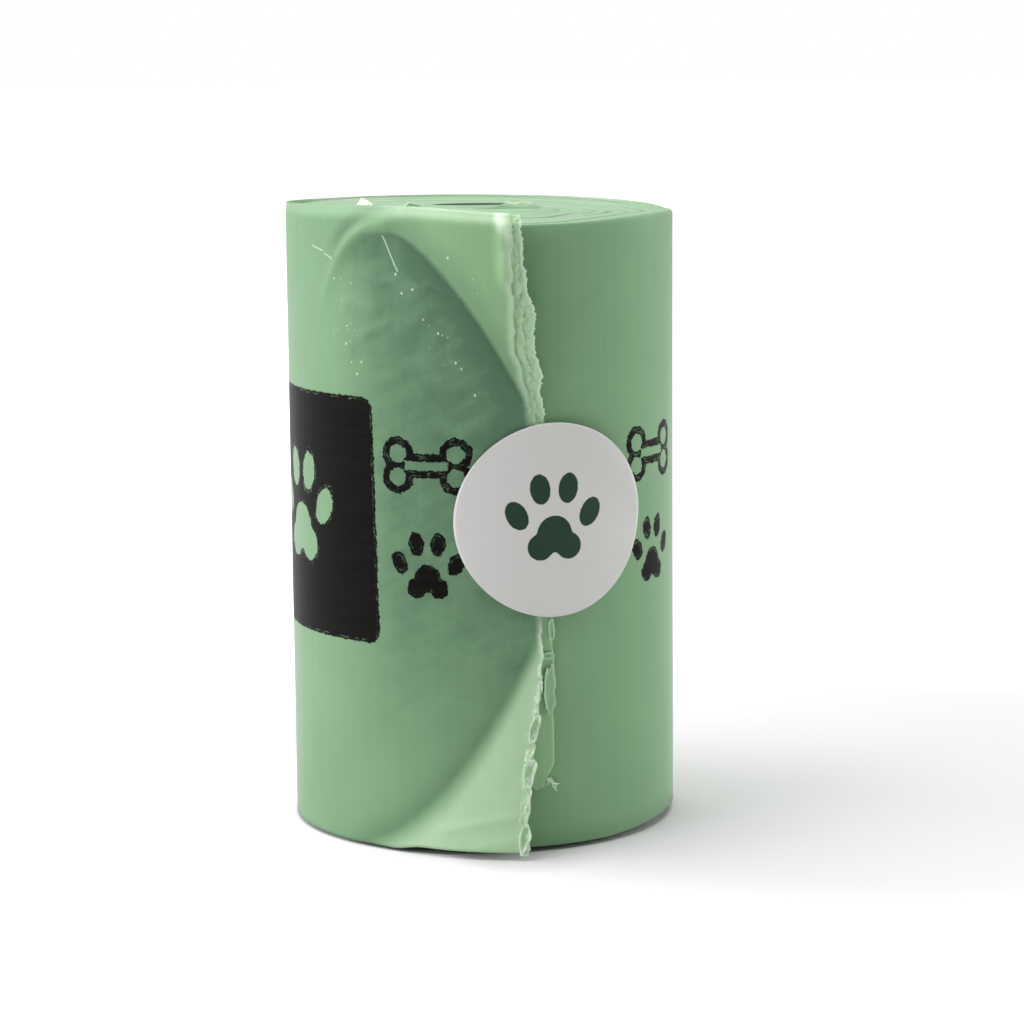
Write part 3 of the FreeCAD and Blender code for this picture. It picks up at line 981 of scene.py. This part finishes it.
def fringe(web):
    """The crumpled fringe along the lower tear."""
    foot, head = 0.5 * MM, 19.6 * MM

    def shape(across, up):
        z = foot + (head - foot) * up
        wander = 0.9 * ragged(z, 43.0) + 1.4 * grain(44.0, z, 2.3)
        right = web.tear(z) + web.torn.ragged * wander
        wide = MM * max(0.5 + 0.5 * grain(45.0, z, 1.9) + 0.3 * ragged(z, 46.0), 0.25)
        wide *= smooth((head - z) / MM + 0.2)
        x = right - wide * (1 - across)
        along = web.along_at(x, z)
        crumpled = 0.2 * MM * (grain(47.0, x, 0.5, z, 0.8) + 0.6 * grain(48.0, x, 0.25, z, 0.35))
        mottle = smooth(0.5 + 1.5 * grain(49.0, x, 0.4, z, 0.6))
        looks = {PALE: 0.42 + 0.5 * mottle, LOOSE: 1.0}
        return web.point(along, z, -0.12 * MM - crumpled), (along, z), looks

    return bent_sheet(16, 230, shape)


def scrap(centre, outward, up, width, height, cup, seed, white):
    """A small cupped flap of film with a stretched pale rim."""
    across = up.cross(outward)

    def shape(u, v):
        x, y = round_off(u, v)
        rim = math.hypot(x, y)
        wobble = 1 + 0.45 * ripple(x * 0.9, y * 1.4, seed) + 0.2 * ripple(x * 2, y * 3, seed + 3)
        curled = rim ** 3 * (1 + 0.8 * ripple(x, y * 2, seed + 5))
        rise = cup * (curled + 0.4 * ripple(x * 2, y * 3, seed + 1))
        point = centre + across * (x * width / 2 * wobble) + up * (y * height / 2 * wobble)
        point += outward * rise
        pale = white * (0.35 + 0.65 * ease(rim, 0.5, 0.4))
        return point, (point.x, point.z), {PALE: pale, LOOSE: white}

    return bent_sheet(16, 32, shape)


def frays():
    """The curled scraps along the lower tear and beside the second ply."""
    web = Web()
    # height above the ground, with how far beside the axis first where it isn't on the tear,
    # then the scrap's own width and height, all in millimetres
    along_tear = ((12.6, 0.9, 2.4), (8.4, 1.2, 3.4), (2.3, 0.9, 2.4))
    beside = ((6.35, 22.2, 0.45, 2.6), (5.95, 19.7, 1.2, 0.5), (6.15, 16.4, 1.2, 5.8))
    parts = [fringe(web)]
    for number, (z, width, height) in enumerate(along_tear):
        z, above = z * MM, z * MM + MM
        along = web.along_at(web.tear(z) - 0.15 * MM, z)
        centre = web.point(along - 0.15 * MM, z, -0.16 * MM)
        outward = at(along / web.turn.radius, 1.0)
        up = (web.point(web.along_at(web.tear(above), above), above) - web.point(along, z)).normalized()
        parts.append(scrap(centre, outward, up, width * MM, height * MM, 0.24 * MM, 40.0 + number, 0.8))
    for number, (x, z, width, height) in enumerate(beside):
        turned = math.asin(x * MM / web.roll.radius)
        centre = at(turned, web.roll.radius + 0.38 * MM, z * MM)
        outward, up = at(turned, 1.0), Vector((0, 0, 1))
        parts.append(scrap(centre, outward, up, width * MM, height * MM, 0.16 * MM, 60.0 + number, 0.4))
    add_film("frays", join(parts), 0.09 * MM)


def thread(start, way, outward, long, wide, bow, seed):
    """A torn fibre: a narrow strip that tapers and bows outward."""
    side = way.cross(outward)

    def shape(u, v):
        half = wide / 2 * (1 - 0.7 * v)
        lean = 0.18 * long * ripple(v * 2.0, seed=seed)
        point = (start + way * (long * v) + side * ((u - 0.5) * 2 * half + lean)
                 + outward * (bow * math.sin(math.pi * v) + 0.05 * MM))
        return point, (point.x, point.z), {PALE: 0.85, LOOSE: 1.0}

    return bent_sheet(4, 24, shape)


def fibres():
    """The frayed tuft at the second ply's lower corner."""
    web = Web()
    turned = math.asin(5.95 * MM / web.roll.radius)
    outward, side, up = at(turned, 1.0), at(turned + math.pi / 2, 1.0), Vector((0, 0, 1))
    root = at(turned, web.roll.radius + 0.25 * MM, 7.4 * MM)
    # how far each leans from straight down in degrees, then length and bow in millimetres
    tuft = ((-30, 1.6, 0.5), (-62, 1.3, 0.35), (15, 0.7, 0.3), (-45, 1.3, 0.7))
    parts = []
    for number, (lean, long, bow) in enumerate(tuft):
        way = (side * -math.sin(lean * DEG) - up * math.cos(lean * DEG)).normalized()
        parts.append(thread(root, way, outward, long * MM, 0.22 * MM, bow * MM, 70.0 + number))
    add_film("fibres", join(parts), 0.08 * MM)


def proud_edge(web, number, reach, first, last, rise, lean):
    """A stretch of an inner turn's edge that stands out of the top end and leans in."""
    sunk = 0.5 * MM

    def shape(across, up):
        turned = (first + (last - first) * across) * DEG
        fade = smooth(across * 4) * smooth((1 - across) * 4)
        tall = rise * MM * fade * (0.8 + 0.5 * ripple(across * 5, seed=80 + number))
        drift = 0.25 * MM * ripple(across * 4, seed=90 + number)
        radius = reach * MM + drift - lean * MM * fade * up ** 2
        foot = web.roll.length + core_rise(reach * MM, turned) - sunk
        point = at(turned, radius, foot + (sunk + tall) * up)
        return point, (turned * radius, point.z), {PALE: 0.35 + 0.45 * up * fade, LOOSE: 0.8}

    return bent_sheet(60, 8, shape)


def rim_tip(web):
    """The white tip of film at the last turn's rim."""
    def shape(across, up):
        turned = (-36 + (across - 0.5) * 9 * (1 - 0.6 * up) - 0.8 * up) * DEG
        tall = 1.2 - 0.4 * across + 0.12 * ripple(across * 3, seed=99.0)
        z = web.top(turned) - 0.5 * MM + tall * MM * up
        point = at(turned, web.turn.radius - 0.75 * MM - 0.5 * MM * up, z)
        return point, (turned * web.turn.radius, z), {PALE: 1.0, LOOSE: 1.0}

    return bent_sheet(12, 12, shape)


def proud_edges():
    """Edges of inner turns that stand out of the top end, and the tip at the last turn's rim."""
    web = Web()
    # radius in millimetres, from and to in degrees, then rise and lean in millimetres
    runs = ((8.4, 136, 167, 0.45, 0.4), (9.0, -137, -110, 0.6, 0.4), (5.5, 15, 85, 0.6, 0.1),
            (11.0, -80, -30, 0.6, 0.5), (13.5, -70, -25, 0.5, 0.35), (15.0, 150, 230, 0.2, 0.35))
    parts = [proud_edge(web, number, *run) for number, run in enumerate(runs)]
    add_film("proud_edges", join(parts + [rim_tip(web)]), 0.1 * MM)


def paper_seal():
    """The round seal that holds the loose end, bent a little less than the roll."""
    scene = bpy.context.scene
    seal, turn = scene.bag_seal, scene.bag_last_turn
    bend = turn.radius + 0.2 * MM + seal.slack
    centre = at(10 * DEG, -seal.slack)
    outward, sideways = at(seal.place, 1.0), at(seal.place + math.pi / 2, 1.0)

    def shape(u, v):
        x, y = round_off(u, v)
        x, y = x * seal.diameter / 2, y * seal.diameter / 2
        base = sideways * x
        beside = (base - centre).dot(sideways)
        reach = math.sqrt(bend ** 2 - beside ** 2) + centre.dot(outward)
        lifted = 0.35 * MM * smooth((x + y - 7 * MM) / (6 * MM))
        return base + outward * (reach + lifted) + Vector((0, 0, seal.height + y)), (x, y), {}

    piece = add_piece("paper_seal", bent_sheet(64, 64, shape), paper_material(),
                      ["seal_sticker", "sticker_print"])
    thicken(piece, seal.thickness, 1.0)


# ---- stage

def lamp(name, turned, raised, away, size, power, colour=(1, 1, 1)):
    """A soft lamp at an angle from the front and a height angle, aimed at the roll."""
    target = Vector((0, 0, 0.03))
    place = target + at(turned, away * math.cos(raised), away * math.sin(raised))
    data = bpy.data.lights.new(name, "AREA")
    data.shape = "RECTANGLE"
    data.size, data.size_y = size
    data.energy, data.color = power, colour
    light = bpy.data.objects.new(name, data)
    light.location = place
    light.rotation_euler = (target - place).to_track_quat("-Z", "Y").to_euler()
    bpy.context.scene.collection.objects.link(light)


def floor():
    """The white ground, which keeps the roll's shadow. Painted light, a glow that only the camera sees,
    lifts it to white, kept off beside the roll's right, in front of the lower corner and under its rim so
    that the shadows there show.
    """
    bm = bmesh.new()
    bmesh.ops.create_grid(bm, x_segments=1, y_segments=1, size=3.0)
    mesh = bpy.data.meshes.new("floor")
    bm.to_mesh(mesh)
    bm.free()
    ground = bpy.data.objects.new("floor", mesh)
    bpy.context.scene.collection.objects.link(ground)
    material, shader = material_with("Floor", Roughness=1.0, Base_Color=(0.66, 0.66, 0.66, 1.0),
                                     Specular_IOR_Level=0.0, Emission_Color=(1, 1, 1, 1))
    tree = material.node_tree
    away = Field(tree, tree.nodes.new("ShaderNodeNewGeometry").outputs["Position"])
    seen = Field(tree, tree.nodes.new("ShaderNodeLightPath").outputs["Is Camera Ray"])
    # the painted glow is kept off the shadow right of the roll, the shadow in front of the lower corner
    # and the ground under the rim
    from_shadow = away.vector("DISTANCE", (0.045, 0.01, 0.0))
    outside = away.vector("LENGTH").ramp(0.0195, 0.0202)
    from_corner = away.vector("DISTANCE", (0.004, -0.019, 0.0))
    glow = seen * from_shadow.ramp(0.04, 0.1) * from_corner.ramp(0.0045, 0.0085) * outside
    glow.link(shader.inputs["Emission Strength"], glow)
    mesh.materials.append(material)


def backdrop():
    """A world that is white behind the roll and dimmer as a light."""
    world = bpy.data.worlds.new("Studio")
    world.use_nodes = True
    bpy.context.scene.world = world
    tree = world.node_tree
    background = tree.nodes["Background"]
    background.inputs["Color"].default_value = (1, 1, 1, 1)
    seen = Field(tree, tree.nodes.new("ShaderNodeLightPath").outputs["Is Camera Ray"])
    strength = seen * 0.9 + 0.1
    strength.link(background.inputs["Strength"], strength)


def camera():
    values = bpy.context.scene.bag_stage
    data = bpy.data.cameras.new("camera")
    data.lens, data.sensor_width = values.lens, 36.0
    eye = bpy.data.objects.new("camera", data)
    look = Matrix.Rotation(-values.yaw, 4, "Z") @ Matrix.Rotation(math.pi / 2 - values.pitch, 4, "X")
    look = look @ Matrix.Rotation(values.lean, 4, "Z")
    eye.matrix_world = Matrix.Translation((0, -values.distance, values.height)) @ look
    bpy.context.scene.collection.objects.link(eye)
    bpy.context.scene.camera = eye


def stage():
    """Floor, lamps, world and camera."""
    floor()
    backdrop()
    camera()
    lamp("left softbox", -78 * DEG, 30 * DEG, 0.6, (0.8, 0.5), 4.1, (1, 0.94, 1))
    lamp("right softbox", 100 * DEG, 18 * DEG, 0.6, (0.6, 0.4), 2.0)
    lamp("top softbox", 180 * DEG, 80 * DEG, 0.6, (0.7, 0.7), 5.2)
    bpy.context.scene.view_settings.view_transform = "Standard"


# ---- add-on

class BAGROLL_OT_materials(bpy.types.Operator):
    """Add the film's materials and the node groups that they share"""
    bl_idname = "bagroll.materials"
    bl_label = "Materials"

    def execute(self, context):
        for make in (paw_group, bone_group, web_streaks_group, trail_group):
            make()
        film_material("Printed film", True)
        film_material("Plain film", False)
        return {"FINISHED"}


class BAGROLL_OT_wound_turns(bpy.types.Operator):
    """Add the wound turns with their hollow and open ends"""
    bl_idname = "bagroll.wound_turns"
    bl_label = "Wound turns"

    def execute(self, context):
        wound_turns()
        proud_edges()
        return {"FINISHED"}


class BAGROLL_OT_last_turn(bpy.types.Operator):
    """Add the last turn with its folds and torn edge"""
    bl_idname = "bagroll.last_turn"
    bl_label = "Last turn"

    def execute(self, context):
        last_turn()
        return {"FINISHED"}


class BAGROLL_OT_tear(bpy.types.Operator):
    """Add the torn plies, the second ply, the frays and the fibres"""
    bl_idname = "bagroll.tear"
    bl_label = "Tear"

    def execute(self, context):
        torn_plies()
        second_ply()
        frays()
        fibres()
        return {"FINISHED"}


class BAGROLL_OT_seal(bpy.types.Operator):
    """Add the round paper seal with its print"""
    bl_idname = "bagroll.seal"
    bl_label = "Paper seal"

    def execute(self, context):
        paper_seal()
        return {"FINISHED"}


class BAGROLL_OT_stage(bpy.types.Operator):
    """Add the floor, the lamps, the world and the camera"""
    bl_idname = "bagroll.stage"
    bl_label = "Stage"

    def execute(self, context):
        stage()
        return {"FINISHED"}


OPERATORS = (BAGROLL_OT_materials, BAGROLL_OT_wound_turns, BAGROLL_OT_last_turn, BAGROLL_OT_tear,
             BAGROLL_OT_seal, BAGROLL_OT_stage)


class BAGROLL_PT_panel(bpy.types.Panel):
    """Builds the roll piece by piece"""
    bl_label = "Bag roll"
    bl_idname = "BAGROLL_PT_panel"
    bl_space_type = "VIEW_3D"
    bl_region_type = "UI"
    bl_category = "Bag roll"

    def draw(self, context):
        for operator in OPERATORS:
            self.layout.operator(operator.bl_idname)
        for key, group in SETTINGS.items():
            box = self.layout.box()
            box.label(text=group.__name__)
            for prop in group.__annotations__:
                box.prop(getattr(context.scene, key), prop)


def register():
    for key, group in SETTINGS.items():
        bpy.utils.register_class(group)
        setattr(bpy.types.Scene, key, bpy.props.PointerProperty(type=group))
    for cls in OPERATORS + (BAGROLL_PT_panel,):
        bpy.utils.register_class(cls)


def unregister():
    for cls in reversed(OPERATORS + (BAGROLL_PT_panel,)):
        bpy.utils.unregister_class(cls)
    for key, group in reversed(SETTINGS.items()):
        delattr(bpy.types.Scene, key)
        bpy.utils.unregister_class(group)


def main():
    register()
    bpy.ops.bagroll.materials()
    bpy.ops.bagroll.wound_turns()
    bpy.ops.bagroll.last_turn()
    bpy.ops.bagroll.tear()
    bpy.ops.bagroll.seal()
    bpy.ops.bagroll.stage()


if __name__ == "__main__":
    main()
